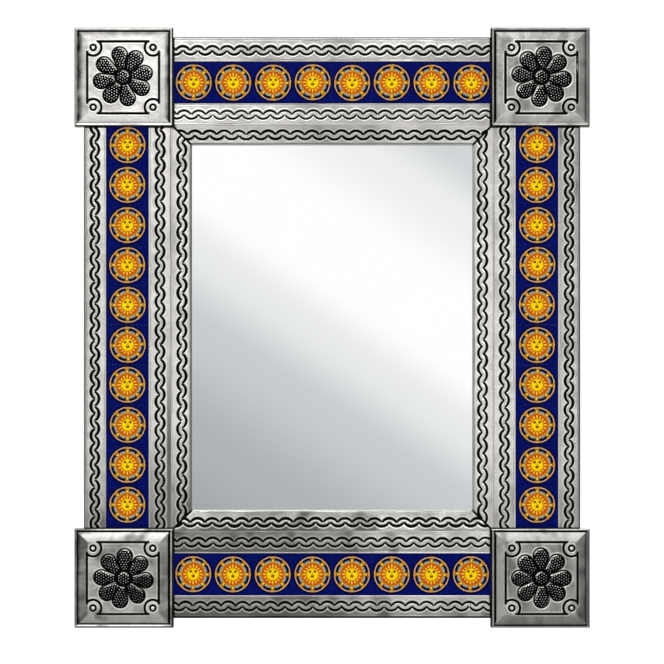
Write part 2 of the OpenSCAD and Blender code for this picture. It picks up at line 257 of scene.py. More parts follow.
def smooth(x, low, high):
    """0 below low, 1 above high and a smooth step between; low may be the larger."""
    s = np.clip((x - low) / (high - low), 0, 1)
    return s * s * (3 - 2 * s)


def bump(x, width):
    """A smooth hill of height 1 at 0."""
    return np.exp(-((x / width) ** 2))


def laid_on(under, more):
    """A relief with another laid on it: heights add up, and the blacker and the brighter one show."""
    return under[0] + more[0], np.maximum(under[1], more[1]), np.maximum(under[2], more[2])


class Ripple:
    """A smooth random field over a piece, from a few waves with seeded directions."""

    def __init__(self, seed, shortest, longest, count=14):
        rng = np.random.default_rng(seed)
        length = shortest * (longest / shortest) ** rng.random(count)
        angle = rng.random(count) * 2 * math.pi
        self.kx = 2 * math.pi * np.cos(angle) / length
        self.kz = 2 * math.pi * np.sin(angle) / length
        self.phase = rng.random(count) * 2 * math.pi
        self.weight = length / longest
        self.weight /= np.sqrt((self.weight**2).sum() / 2)

    def __call__(self, x, z):
        total = 0
        for kx, kz, phase, weight in zip(self.kx, self.kz, self.phase, self.weight):
            total = total + weight * np.sin(kx * x + kz * z + phase)
        return total


def place_on(side, t, d, u):
    """Place in metres of points given by t, d and u on a side."""
    out = t + (open_z if side in LEVEL else open_x)
    sign = 1 if side in ("top", "right") else -1
    x, z = (u, sign * out) if side in LEVEL else (sign * out, u)
    return np.stack(np.broadcast_arrays(x, -d, z), -1) * MM


def grid_quads(index, wrap=False):
    """Quads between the rows and columns of a grid of vertex numbers."""
    if wrap:
        index = np.concatenate([index, index[:, :1]], 1)
    a, b, c, d = index[:-1, :-1], index[:-1, 1:], index[1:, 1:], index[1:, :-1]
    return np.stack([a, b, c, d], -1).reshape(-1, 4)


def ring_of(index):
    """Vertex numbers round the edge of a grid, in order."""
    return np.concatenate([index[0, :-1], index[:-1, -1], index[-1, :0:-1], index[:0:-1, 0]])


def uv_of(corners):
    """UVs of quads, from the u and the v of each of their corners."""
    return np.stack([np.stack(corner, -1) for corner in corners], 1)


def pressed_shape(x, z, height, rings):
    """Points, quads and the back's outline of a face over a grid with walls from its edge. Points are
    x, height and z from the middle, and rings are the walls' levels as a scale and a height."""
    top = np.arange(x.size).reshape(x.shape)
    ring = ring_of(top)
    co = [np.stack([x, height, z], -1).reshape(-1, 3)]
    for scale, level in rings:
        co.append(co[0][ring] * scale)
        co[-1][:, 1] = level
    index = x.size + np.arange(len(rings) * len(ring)).reshape(len(rings), -1)
    quads = [grid_quads(top), grid_quads(np.array([ring, *index]), wrap=True)[:, ::-1]]
    return np.concatenate(co), np.concatenate(quads), index[-1]


def place_at(centre_x, centre_z, co):
    """Place in metres of points given as x, height and z from a middle."""
    return (co * [1, -1, 1] + [centre_x, 0, centre_z]) * MM


def volume_of(co, quads):
    """Six times the signed volume under the quads, to tell which way they face."""
    a, b, c, d = (co[quads[:, i]] for i in range(4))
    return (np.cross(a, b) * c).sum() + (np.cross(a, c) * d).sum()


def new_object(name, data):
    """An object in the scene."""
    made = bpy.data.objects.new(name, data)
    bpy.context.scene.collection.objects.link(made)
    return made


def build_mesh(name, co, quads, ngons=(), uv=None, marks=None):
    """A mesh object from numpy arrays. marks are numbers kept at each vertex for the material."""
    if volume_of(co, quads) < 0:
        quads = quads[:, ::-1]
        ngons = [n[::-1] for n in ngons]
        uv = None if uv is None else uv[:, ::-1]
    mesh = bpy.data.meshes.new(name)
    loops = np.concatenate([quads.ravel()] + [np.asarray(n) for n in ngons])
    sizes = np.concatenate([np.full(len(quads), 4), [len(n) for n in ngons]]).astype(np.int32)
    starts = np.concatenate([[0], np.cumsum(sizes)[:-1]]).astype(np.int32)
    mesh.vertices.add(len(co))
    mesh.vertices.foreach_set("co", co.astype(np.float32).ravel())
    mesh.loops.add(len(loops))
    mesh.loops.foreach_set("vertex_index", loops.astype(np.int32))
    mesh.polygons.add(len(sizes))
    mesh.polygons.foreach_set("loop_start", starts)
    mesh.polygons.foreach_set("use_smooth", np.ones(len(sizes), bool))
    mesh.update(calc_edges=True)
    if uv is not None:
        layer = mesh.uv_layers.new(name="OFBake")
        flat = np.zeros((len(loops), 2), np.float32)
        flat[: uv.shape[0] * 4] = uv.reshape(-1, 2)
        layer.data.foreach_set("uv", flat.ravel())
    for key, values in (marks or {}).items():
        kind, field = ("FLOAT_VECTOR", "vector") if values.ndim == 2 else ("FLOAT", "value")
        layer = mesh.attributes.new(key, kind, "POINT")
        layer.data.foreach_set(field, values.astype(np.float32).ravel())
    mesh.validate()
    mesh.set_sharp_from_angle(angle=math.radians(62))
    return new_object(name, mesh)


def finish_piece(piece, node, material):
    """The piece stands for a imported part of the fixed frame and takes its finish."""
    piece.data.materials.append(material)
    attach(piece, "frame")
    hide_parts(node)


# Nodes of the materials


class Field:
    """A number that a material's nodes work out at each point of a surface."""

    def __init__(self, tree, socket):
        self.tree = tree
        self.socket = socket

    def math(self, operation, *others, clamp=False):
        """The field after an operation with other fields or numbers."""
        inputs = dict(enumerate((self, *others)))
        node = add_node(self.tree, "Math", inputs, operation=operation, use_clamp=clamp)
        return Field(self.tree, node.outputs[0])

    __add__ = partialmethod(math, "ADD")
    __sub__ = partialmethod(math, "SUBTRACT")
    __mul__ = partialmethod(math, "MULTIPLY")
    __truediv__ = partialmethod(math, "DIVIDE")
    __abs__ = partialmethod(math, "ABSOLUTE")

    def step(self, low, high):
        """Smooth step from 0 at low to 1 at high."""
        start, end = (1, 0) if low > high else (0, 1)
        limits = {"From Min": min(low, high), "From Max": max(low, high), "To Min": start, "To Max": end}
        node = add_node(self.tree, "MapRange", {"Value": self, **limits}, interpolation_type="SMOOTHSTEP")
        return Field(self.tree, node.outputs["Result"])

    def band(self, low, high, soft):
        """1 between low and high, with soft edges."""
        return self.step(low - soft, low + soft) * self.step(high + soft, high - soft)


def plug(tree, socket, value):
    """Joins a field or a socket to an input, or sets the input to a number or a colour."""
    if isinstance(value, Field):
        value = value.socket
    if isinstance(value, bpy.types.NodeSocket):
        tree.links.new(value, socket)
    elif isinstance(value, tuple) and len(value) == 3 and socket.type == "RGBA":
        socket.default_value = (*value, 1)
    else:
        socket.default_value = value


def add_node(tree, kind, inputs, **settings):
    """A node with its settings, and with its inputs joined or set."""
    node = tree.nodes.new("ShaderNode" + kind)
    for name, value in settings.items():
        setattr(node, name, value)
    for name, value in inputs.items():
        plug(tree, node.inputs[name], value)
    return node


def mix(tree, share, under, over):
    """A colour: over laid on under by the share."""
    inputs = {"Factor": share, "A": under, "B": over}
    return add_node(tree, "Mix", inputs, data_type="RGBA").outputs["Result"]


def noise(tree, place, scale, detail=3.0, roughness=0.5, distortion=0.0):
    """A noise field of about 0 to 1, with features of 1/scale metres."""
    inputs = {"Vector": place, "Scale": scale, "Detail": detail, "Roughness": roughness}
    node = add_node(tree, "TexNoise", {**inputs, "Distortion": distortion})
    return Field(tree, node.outputs["Fac"])


def stretched(tree, place, scale):
    """The place with each axis scaled, which draws a noise out along the least scaled one."""
    return add_node(tree, "Mapping", {"Vector": place, "Scale": scale}).outputs["Vector"]


def mark(tree, name):
    """A number that the mesh keeps at its vertices."""
    return Field(tree, add_node(tree, "Attribute", {}, attribute_name=name).outputs["Fac"])


def axes_of(tree, vector):
    """The three numbers of a place or a direction."""
    return [Field(tree, axis) for axis in add_node(tree, "SeparateXYZ", {"Vector": vector}).outputs]


def new_material(name):
    """A material, its tree and the place on the piece in metres."""
    material = bpy.data.materials.new(name)
    material.use_nodes = True
    tree = material.node_tree
    return material, tree, add_node(tree, "TexCoord", {}).outputs["Object"]


def shaded(material, colour, roughness, metallic, relief=None, specular=0.5):
    """The material with its shader's inputs joined or set. relief is a height with its distance and
    strength."""
    tree = material.node_tree
    inputs = {"Base Color": colour, "Roughness": roughness, "Metallic": metallic}
    inputs["Specular IOR Level"] = specular
    if relief:
        bump_node = add_node(tree, "Bump", dict(zip(("Height", "Distance", "Strength"), relief)))
        inputs["Normal"] = bump_node.outputs["Normal"]
    for name, value in inputs.items():
        plug(tree, tree.nodes["Principled BSDF"].inputs[name], value)
    return material


def coats(tree, ground, *layers):
    """A colour with others laid on it in turn, each as a share and a colour."""
    for share, colour in layers:
        ground = mix(tree, share, ground, colour)
    return ground


def srgb(r, g, b):
    """A colour written as on a screen, 0 to 255, as the nodes take it."""
    return tuple(((c / 255 + 0.055) / 1.055) ** 2.4 if c > 10 else c / 255 / 12.92 for c in (r, g, b))


def tin_material(name, grain, tone, mottle, dullness=0.40):
    """Hand-worked tin: cloudy, brushed along the grain, black with patina in the grooves and with painted
    shade where its marks lay it, and painted bright as highlights on the ridges. grain gives the scales
    of the brushing along each axis, tone how bright the sheet is (lower on some pieces as painted
    shade), mottle how cloudy and dullness how rough."""
    material, tree, place = new_material(name)
    patina_and_shade, polish_and_highlight = mark(tree, "patina_and_shade"), mark(tree, "polish_and_highlight")
    clouds = noise(tree, place, 26, 4, 0.55, 0.6)
    blots = noise(tree, place, 95, 3, 0.6, 0.3)
    bands = noise(tree, stretched(tree, place, tuple(g / 5 for g in grain)), 1.0, 3, 0.55, 0.4)
    brushed = noise(tree, stretched(tree, place, grain), 1.0, 3, 0.6)
    specks = noise(tree, place, 900, 2, 0.6)
    cloudy = clouds.step(0.36, 0.66) * 0.3 + blots.step(0.34, 0.68) * 0.2
    cloudy = cloudy + bands.step(0.38, 0.64) * 0.35 + brushed.step(0.3, 0.7) * 0.15
    dull = tuple(c * tone * (1 - 0.45 * mottle) for c in (0.86, 0.84, 0.80))
    bright = tuple(min(c * tone, 0.97) for c in (0.95, 0.94, 0.92))
    # Near-white for bright wear and painted highlights, near-black for patina and painted shade
    wear_and_highlight, soot = (0.97, 0.965, 0.95), (0.005, 0.0045, 0.004)
    shine = polish_and_highlight.math("MINIMUM", 1.0)
    # How much of the near-black is laid: patina and painted shade
    dark_share = (patina_and_shade * 1.3 - 0.08 + (specks - 0.5) * 0.25 * patina_and_shade).math("MINIMUM", 1.0, clamp=True)
    relief = clouds * 0.6 + blots * 0.3 + brushed * 0.05 + specks * 0.02
    colour = coats(tree, dull, (cloudy, bright), (shine, wear_and_highlight), (dark_share, soot))
    roughness = cloudy * -0.1 + dullness + dark_share * 0.3 + polish_and_highlight * -0.08
    return shaded(material, colour, roughness, 1.0, (relief, 0.0011, 0.5))


# Grooves, ridges and creases of the strips


def wave_relief(w, u, strip, wave, seed, lit_below):
    """Height, black and shine of the two rows of punched arcs. w is the distance across from the
    strip's middle, towards the row that the strip's crest is in, and wave says how far the crests
    are from the middle, half the angle of an arc and half its line's width."""
    crest_w, half_angle, half_line = wave
    pitch = strip["pitch"]
    rng = np.random.default_rng(seed)
    arcs = 97
    soft_edge = 0.32
    end_u, end_w = wave_r * np.sin(half_angle), wave_r * np.cos(half_angle)
    height, black, shine = (np.zeros_like(w) for _ in range(3))
    for row, sign in enumerate((1, -1)):
        along = u - strip["crest"] - row * pitch / 2
        number = np.round(along / pitch).astype(int)
        slip, lift, turn = (rng.normal(0, spread, arcs)[number % arcs] for spread in (0.22, 0.16, 0.03))
        force = rng.uniform(0.88, 1.06, arcs)[number % arcs]
        du = along - number * pitch - slip
        dw = sign * w - (crest_w - wave_r) - lift
        angle = np.abs(np.arctan2(du, dw) + turn)
        radius = np.hypot(du, dw)
        off = radius - wave_r
        past_end = np.hypot(radius * np.sin(angle) - end_u, radius * np.cos(angle) - end_w)
        gap = np.where(angle <= half_angle, np.abs(off), past_end)
        half = half_line * force * (1 - 0.28 * (np.clip(angle, 0, half_angle) / half_angle) ** 2)
        cut = smooth(gap, half + soft_edge, half - soft_edge)
        outer = bump(gap - half - 0.95, 0.75) * (off > 0)
        inner = bump(gap - half - 0.8, 0.6) * (off <= 0) * (angle < half_angle)
        height += -groove_depth * cut + 0.14 * outer + 0.08 * inner
        # The ridges beside each groove get painted highlights, brighter on the side that lit_below turns to
        # the light
        lit = lit_below if sign < 0 else 1 - lit_below
        wear_and_highlight = np.maximum(outer * min(1, 2 * lit), 0.8 * inner * min(1, 2 - 2 * lit))
        black, shine = np.maximum(black, cut), np.maximum(shine, wear_and_highlight)
    # The rounded rope that winds between the two rows, with a crease along it; its crown gets a painted
    # highlight and the crease painted shade
    turns = 2 * math.pi * (u - strip["crest"]) / pitch
    lean = np.hypot(1, rope_sway * 2 * math.pi / pitch * np.sin(turns))
    rope = (w - rope_sway * np.cos(turns)) / lean
    crown = np.clip(1 - (rope / rope_half_w) ** 2, 0, 1)
    crease = bump(rope, 0.42)
    height += (0.3 * np.sqrt(crown) - 0.14 * crease) * (1 - black)
    shine = np.maximum(shine, 0.3 * crown) * (1 - 0.7 * crease)
    black = np.maximum(black, 0.28 * crease)
    return height, black, shine * (1 - black)


def band_relief(e, u, band, line, light, seed):
    """Height, black and shine of a rolled edge: e is the distance from the edge, band the width of
    the roll, line how black the edge itself is, as painted shade, and light how bright the roll, as a
    painted highlight. The crease inside the roll is darker."""
    wander = Ripple(seed, 14, 90)
    at = band + 0.16 * wander(u, 0 * u)
    depth = np.clip(0.6 + 0.3 * wander(u, 31 + 0 * u), 0.1, 1)
    rolled = smooth(e, at, at - 0.7)
    crease = bump(e - at - 0.25, 0.42) * depth
    edge = smooth(e, 1.1 * line + 0.3, 0.5 * line)
    height = 0.22 * rolled - 0.2 * crease - 0.25 * edge
    return height, np.clip(0.6 * crease + line * edge, 0, 1), light * rolled * (1 - edge)


def face_steps(width):
    """Places across a strip: close together at its edges and in the waves, wider between."""
    half = width / 2
    edge_w, waves_w = 3.6, 9.0
    fine = np.arange(0, edge_w, 0.4 * STEP)
    waves = np.arange(half - waves_w, half, 0.52 * STEP)
    between = np.linspace(edge_w, half - waves_w, max(3, int(4 / STEP)))[1:-1]
    left = np.concatenate([fine, between, waves] if half > 13 else [fine, waves])
    return np.concatenate([left, [half], (width - left)[::-1]])


def strip_relief(kind, side, width, bands, across, u):
    """Height, black and shine of a strip's face at the places across it and along its side: waves
    along its middle, rolled edges, painted shade and a slightly uneven sheet. bands are what band_relief
    needs for the start and the end of the face. It runs inwards, and on a moulding outwards."""
    seed = 11 + 7 * SIDES.index(side) + 3 * KINDS.index(kind)
    strip, sheet = STRIPS[kind, side], SHEETS[side]
    open_edge, cap_edge = (open_x, cap_in_x) if side in LEVEL else (open_z, cap_in_z)
    crest_w, half_angle, half_line = ROW_WAVE if side in LEVEL else SIDE_WAVE
    wave = (crest_w + strip["apart"], half_angle, half_line + strip["wider"])
    w = (width / 2 - across) * (-1 if kind == "moulding" else 1) + strip["inwards"]
    crest_way = 1 if side in ("top", "left") else -1
    relief = wave_relief(crest_way * w, u, strip, wave, seed, sheet["lit_below"])
    for k, (e, band) in enumerate(zip((across, width - across), bands)):
        relief = laid_on(relief, band_relief(e, u, *band, seed + 300 + k))
    height, black, shine = relief

    along = u / cap_edge
    # Painted shade, set at five places along the strip and heavier on its outer half, with random dark
    # clouds on top
    soot = np.interp(along, (-1, -0.5, 0, 0.5, 1), strip["soot"]) + sheet["low_soot"] * smooth(w, 2, 7)
    soot = soot + sheet["clouds"] * np.clip(Ripple(seed + 250, 18, 90)(across, u), 0, 2)
    soot = np.minimum(soot, most_shade)
    # Painted shade along the bar's outer edge, and along the fold and the glass towards the lower end
    low_end = sheet["fold_soot"] * smooth(along, 0.15, -0.6)
    edge_soot = {
        "outer": sheet["edge_soot"] * smooth(across, 6, 1),
        "inner": low_end * smooth(width - across, 6.5, 4.5),
        "moulding": 0.8 * low_end * smooth(across, 2.5, 0.8),
    }
    soot = np.maximum(soot, edge_soot[kind])
    # Less painted shade where a highlight is painted
    black = np.maximum(black, soot * (1 - 0.5 * np.clip(shine, 0, 1)))
    height = height + sheet["camber"] * (1 - (w / (width / 2)) ** 2)
    height = height + 0.14 * Ripple(seed, 24, 120)(across, u) + 0.018 * Ripple(seed + 100, 5, 16)(across, u)

    # The dark joint at the cap, which also paints the shadow that the cap casts on the strip, with the
    # tarnish of the soldering round it
    joint = cap_edge - np.abs(u)
    tarnish = 0.6 + 0.4 * Ripple(seed + 200, 9, 60)(across, u)
    black = np.maximum(black, 0.96 * smooth(joint, 2.2, 1.1))
    black = np.maximum(black, 0.3 * bump(joint - 2.0, 2.5) * tarnish)
    if kind == "moulding":
        # The mitre is a black line with a low ridge that closes it and a painted highlight beside it
        mitre = (open_edge + hem_w + across * math.cos(slope)) - np.abs(u)
        black = np.maximum(black, smooth(mitre, 2.3, 1.6))
        height = np.maximum(height, 0.3 - 1.3 * smooth(mitre, 0.8, 1.8))
        shine = np.maximum(shine, 0.9 * bump(mitre - 3.3, 0.8))
    height = np.maximum(height, 0.12 - sheet_t)
    return height, np.clip(black, 0, 1), np.clip(shine, 0, 1) * (1 - black)


# The three strips of each side

ROW_GRAIN = (14, 400, 420)
SIDE_GRAIN = (420, 400, 14)
STRIP_NAMES = {
    "outer": ("punched_outer_channel_", "outer_channel_", "tin_bar"),
    "inner": ("punched_inner_strip_", "inner_strip_", "tin_bar"),
    "moulding": ("punched_moulding_", "inner_moulding_", "tin_moulding"),
}


def punched_strip(kind, side, width, before, face, after, bands, rim=(0.3, 0.0)):
    """A length of folded sheet with a wave-punched face. before and after are the plain points of its
    section, as t and d, face the points that the relief lifts, bands the rolled edges at the start
    and the end of the face, and rim how black and how bright the points before the face are."""
    name, node, slot = STRIP_NAMES[kind]
    name, node = name + side, node + side
    mitred = kind == "moulding"
    half_length = span(node, X if side in LEVEL else Z)[1]
    section = np.array([*before, *face, *after], float)
    points, count = len(section), int(2 * half_length / (station_w * STEP))
    reach = half_length - fold_t + section[:, 0] if mitred else np.full(points, half_length)
    u = np.linspace(-1, 1, count)[:, None] * reach
    t, d = (np.broadcast_to(section[:, k], u.shape).copy() for k in (0, 1))
    start, end = len(before), len(before) + len(face)
    part = slice(start, end)
    # The first mark holds patina and painted shade, the second bright wear and painted highlights
    patina_and_shade, polish_and_highlight = np.full(u.shape, 0.3), np.zeros(u.shape)
    patina_and_shade[:, :start], polish_and_highlight[:, :start] = rim
    # Painted shade on the sheet where it turns down beside the tiles or into the fold; the hidden sheet
    # after it is darker tin
    patina_and_shade[:, end:] = 0.85
    patina_and_shade[:, end + 2:] = 0.42
    if mitred:
        patina_and_shade[[0, 1, 2, -3, -2, -1], :start] = 1
    across = np.concatenate([[0], np.cumsum(np.hypot(*np.diff(section[part], axis=0).T))])
    across = np.broadcast_to(across, u[:, part].shape)
    lift, patina_and_shade[:, part], polish_and_highlight[:, part] = strip_relief(kind, side, width, bands, across, u[:, part])
    lift_t, lift_d = (-math.sin(slope), math.cos(slope)) if mitred else (0, 1)
    t[:, part] += lift_t * lift
    d[:, part] += lift_d * lift

    index = np.arange(count * points).reshape(count, points)
    rows = 6
    row_length = (count - 1) / rows
    station = np.repeat(np.arange(count - 1), points)
    place = np.tile(np.arange(points), count - 1)
    row = np.minimum(station // row_length, rows - 1)
    uv = uv_of(
        ((station + a - row * row_length) / row_length, (row + 0.02 + 0.96 * (place + b) / points) / rows)
        for a, b in ((0, 0), (0, 1), (1, 1), (1, 0))
    )
    co = place_on(side, t, d, u).reshape(-1, 3)
    marks = {"patina_and_shade": patina_and_shade.ravel(), "polish_and_highlight": polish_and_highlight.ravel()}
    ends = [index[0][::-1], index[-1]]
    piece = build_mesh(name, co, grid_quads(index, wrap=True), ends, np.clip(uv, 0, 1), marks)
    tone, mottle = STRIPS[kind, side]["tone"], STRIPS[kind, side]["mottle"]
    grain = ROW_GRAIN if side in LEVEL else SIDE_GRAIN
    tin = tin_material("tin_" + kind + "_" + side, grain, tone, mottle, SHEETS[side]["dullness"])
    finish_piece(piece, node, tin)


def outer_channel(side):
    """The bar's folded sheet: its outer wall, its punched face and the tray under the tiles."""
    lip_t = lip_out_t - (top_lip_more if side == "top" else 0) + (0 if side in LEVEL else side_lip_less)
    top, under = bar_depth, bar_depth - sheet_t
    corner_r = 0.5
    width = bar_out_t - lip_t - corner_r
    face = [(bar_out_t - corner_r - e, top) for e in face_steps(width)]
    before = [(bar_out_t, d) for d in (0, 6, 13, top - 0.9)] + [(bar_out_t - 0.12, top - 0.4)]
    after = [
        (lip_t - 0.1, top - 0.3),
        (lip_t + 0.1, under),
        (tray_out_t, under),
        (tray_out_t, floor_front),
        (tray_in_t, floor_front),
        (tray_in_t, under),
        (tray_in_t - sheet_t, under),
        (tray_in_t - sheet_t, floor_back),
        ((tray_in_t + tray_out_t) / 2, floor_back),
        (tray_out_t + sheet_t, floor_back),
        (tray_out_t + sheet_t, under),
        *((bar_out_t - sheet_t, d) for d in (under, 10, 0)),
    ]
    # The bar's outer edge and the lip beside the tiles: painted shade on the line at each edge and a
    # painted highlight on each roll
    lip = (1.9, 0.3, STRIPS["outer", side]["lip_light"])
    punched_strip("outer", side, width, before, face, after, (EDGES[side]["bar_edge"], lip))


def inner_strip(side):
    """The strip between the tiles and the moulding, with the lip that holds the tiles."""
    lip_t = lip_in_t - (low_lip_less if side == "top" else 0)
    width = lip_t - fold_t
    top, under = bar_depth, bar_depth - sheet_t
    low = -span("inner_strip_" + side, Y)[1]
    face = [(lip_t - e, top) for e in face_steps(width)]
    before = [(lip_t - 0.05, under), (lip_t, under + 0.1), (lip_t, top - 0.3)]
    after = [
        (fold_t, top - 0.5),
        (fold_t, (top + low) / 2),
        (fold_t, low),
        (fold_t + sheet_t, low),
        (fold_t + sheet_t, under),
        ((fold_t + lip_t) / 2, under),
    ]
    # The lip and the fold: painted shade on the line at each edge and a painted highlight on each roll
    lip = (1.9, 0.8 if side == "top" else 0.3, STRIPS["inner", side]["lip_light"])
    punched_strip("inner", side, width, before, face, after, (lip, EDGES[side]["strip_fold"]))


def inner_moulding(side):
    """The mitred moulding that slopes down to the glass and ends there in a rolled hem."""
    length = math.hypot(bar_depth - glass_front - hem_h, fold_t - hem_w)
    under = sheet_t / math.cos(slope)
    base = glass_front
    cos, sin, tan = math.cos(slope), math.sin(slope), math.tan(slope)
    face = [(hem_w + e * cos, base + hem_h + e * sin) for e in face_steps(length)]
    hem = ((0, 0.45), (0.12, 0.7), (0.4, 0.95), (0.75, 1.02))
    before = [(sheet_t, base), (0, base)] + [(hem_w * a, base + hem_h * b) for a, b in hem]
    inside = fold_t - sheet_t
    after = [
        *((fold_t, d) for d in (bar_depth - 0.6, 10, sheet_t)),
        *((inside, d) for d in (sheet_t, 10, bar_depth - under - sheet_t * tan)),
        (hem_w + sheet_t / 2, base + hem_h - under + sheet_t / 2 * tan),
    ]
    # The glass edge, the fold and the hem: painted shade on the lines at the edges and painted highlights
    # on the rolls and the hem
    bands = (EDGES[side]["glass_edge"], EDGES[side]["moulding_fold"])
    punched_strip("moulding", side, length, before, face, after, bands, EDGES[side]["hem"])


# Corner caps


def petal_gap(x, z, direction):
    """Signed distance to a petal's outline, negative inside."""
    angle = math.radians(direction)
    ahead = x * math.sin(angle) + z * math.cos(angle) - petal_root_at
    aside = np.abs(x * math.cos(angle) - z * math.sin(angle))
    length = petal_tip - petal_end_r - petal_root_at
    tilt = (petal_root_r - petal_end_r) / length
    flat = math.sqrt(1 - tilt * tilt)
    k = -tilt * aside + flat * ahead
    gap = np.where(k < 0, np.hypot(aside, ahead) - petal_root_r, flat * aside + tilt * ahead - petal_root_r)
    return np.where(k > flat * length, np.hypot(aside, ahead - length) - petal_end_r, gap)


def dot_gap(a, b, seed):
    """Distance to the nearest of the punched dots, which lie in slanting, slightly uneven rows."""
    turn, tries = 0.55, 64
    jitter = np.random.default_rng(seed).normal(0, 0.22, (2, tries, tries))
    p, q = a * math.cos(turn) - b * math.sin(turn), a * math.sin(turn) + b * math.cos(turn)
    row = np.round(q / dot_row)
    shift = 0.5 * (row % 2)
    column = np.round(p / dot_pitch - shift)
    i, j = row.astype(int) % tries, column.astype(int) % tries
    return np.hypot(p - (column + shift) * dot_pitch - jitter[0][i, j], q - row * dot_row - jitter[1][i, j])


def frame_gap(x, z):
    """Distance to the scribed frame line, which bends in round each boss, and to the boss."""
    ax, az = np.abs(x), np.abs(z)
    dx, dz = ax - boss_at, az - boss_at
    off = frame_line - boss_at
    line_end = boss_at - math.sqrt(boss_arc_r**2 - off**2) + 1.4
    side = np.hypot(ax - frame_line, np.clip(az - line_end, 0, None))
    top = np.hypot(az - frame_line, np.clip(ax - line_end, 0, None))
    inner = (dx < off + 0.4) & (dz < off + 0.4) & ((dx < 0) | (dz < 0))
    nowhere_near = 9.0
    arc = np.where(inner, np.abs(np.hypot(dx, dz) - boss_arc_r), nowhere_near)
    return np.minimum(np.minimum(side, top), arc), np.hypot(dx, dz)


def by_side(x, z, corner):
    """What CAP_SIDES says of the side that each point is nearest to, blended across the corners."""
    sides = CAP_SIDES[corner]
    share = smooth(np.abs(x) - np.abs(z), -1.2, 1.2)
    across = (np.where(x > 0, r, l) for r, l in zip(sides["right"], sides["left"]))
    down = (np.where(z > 0, t, b) for t, b in zip(sides["top"], sides["bottom"]))
    return [a * share + d * (1 - share) for a, d in zip(across, down)]


def border_relief(x, z, corner, seed):
    """The rim, the groove inside it and the border that slopes up to the panel, with painted shade and
    highlights on them.
    """
    at, half, dark, rim_light, soot, wear_and_highlight, edge_dark = by_side(x, z, corner)
    e = cap_half - np.maximum(np.abs(x), np.abs(z))
    blotch = 1 + 0.12 * Ripple(seed + 2, 8, 40)(x, z)
    on_border = smooth(e, border_w + at + 2.5, border_w + at)

    ramp = np.clip((e - at - half) / border_w, 0, 1)
    height = panel_front - CAPS[corner]["rise"] * (1 - np.sin(math.pi / 2 * ramp))
    rim_in = at - half
    rim = smooth(e, rim_in + 0.25, rim_in - 0.35)
    bead = np.sqrt(np.clip(1 - ((e - rim_in / 2) / (rim_in / 2 + 0.12)) ** 2, 0, 1))
    height = height * (1 - rim) + (rim_front - 0.9 + 0.9 * bead) * rim
    grooved = smooth(np.abs(e - at), half + 0.4, half - 0.2)
    height = height - 0.25 * grooved * (1 - rim)

    # Painted shade beside the rim, in the groove on the sides in shade, on the edge itself and on rims set
    # below 0
    border_shade = soot * np.maximum(smooth(e, 15.5, 5.0), CAPS[corner]["spread"] * on_border) * blotch
    black = np.clip(np.maximum(grooved * dark, border_shade * (1 - rim)), 0, 1)
    black = np.maximum(black, edge_dark * smooth(e, 2.0, 1.3))
    black = np.maximum(black, rim * np.clip(-rim_light, 0, 1))
    # Painted highlights on the border and on the rims
    border = smooth(e, at + half, at + half + 1.5) * on_border
    return height, black, np.maximum(rim_light * rim * bead, np.clip(wear_and_highlight * blotch, 0, 1) * border)


def scribed_relief(x, z):
    """The scribed frame and the four small bosses in their rings."""
    gap, at_boss = frame_gap(x, z)
    line = smooth(gap, 1.85, 1.3)
    beside = bump(gap - 2.3, 0.6)
    dome = np.sqrt(np.clip(1 - (at_boss / boss_r) ** 2, 0, 1))
    ring = smooth(np.abs(at_boss - (boss_r + boss_ring_r) / 2), 1.6, 1.15)
    halo = bump(at_boss - boss_ring_r - 1.1, 0.75)
    height = 0.14 * beside - 0.36 * line + 0.7 * dome - 0.34 * ring + 0.2 * halo
    black = np.maximum(line, ring) * smooth(at_boss, boss_r - 0.6, boss_r)
    # Painted highlights on the ridge beside the line, on the halo round each ring and on the bosses
    shine = np.maximum(0.8 * beside * (at_boss > boss_ring_r), np.maximum(0.9 * halo, dome > 0.2))
    return height, black, shine


def rosette_relief(x, z, directions, toward, seed):
    """The stippled rosette: how far it covers the panel, its height, black and shine."""
    gaps = np.array([petal_gap(x, z, direction) for direction in directions])
    nearest = gaps.argmin(0)
    centre = np.hypot(x, z)
    in_heart = centre < heart_r
    gap = np.where(in_heart, centre - heart_r, np.maximum(gaps.min(0), heart_r - 0.3 - centre))
    flower = smooth(gap, 0.35, -0.25)
    full = np.clip((-gap - 1.5) / np.where(in_heart, 6.5, 5.6), 0, 1)
    swell = np.where(in_heart, heart_h, petal_h) * np.sqrt(1 - (1 - full) ** 2)
    halo = bump(gap - 1.0, 0.68)
    angle = np.radians(directions)[nearest]
    rows_apart = 5.3

    def dots(dx, dz):
        a = (x + dx) * np.sin(angle) + (z + dz) * np.cos(angle)
        b = (x + dx) * np.cos(angle) - (z + dz) * np.sin(angle)
        a, b = np.where(in_heart, x + dx, a + rows_apart * nearest), np.where(in_heart, z + dz, b)
        return dot_gap(a, b, seed)

    # Each dot is bright tin on the black, painted larger as a highlight at the petals' edges that face
    # the light, where the rims get a painted highlight too
    slope_z, slope_x = np.gradient(gap, z[:, 0], x[0])
    facing = slope_x * toward + slope_z * 0.9
    within = smooth(gap, -1.9, -2.5)
    bright_r = dot_r + dot_lit_r * smooth(facing, -0.2, 0.9) * smooth(gap, -6.0, -3.0)
    wear_and_highlight = smooth(dots(0, 0), bright_r + 0.2, bright_r - 0.2) * within
    raised = smooth(dots(0.2 * toward, 0.5), 1.5, 0.1) * within
    wear_and_highlight = np.maximum(wear_and_highlight, 0.9 * smooth(facing, 0.45, 0.95) * bump(gap + 2.3, 0.75))
    height = flower * (swell + dot_h * raised) - 0.34 * bump(gap + 0.9, 1.0) + 0.2 * halo
    # The halo round each petal is a painted highlight
    return flower, height, flower * (1 - 0.97 * wear_and_highlight), np.where(flower > 0.5, wear_and_highlight, 0.95 * halo)


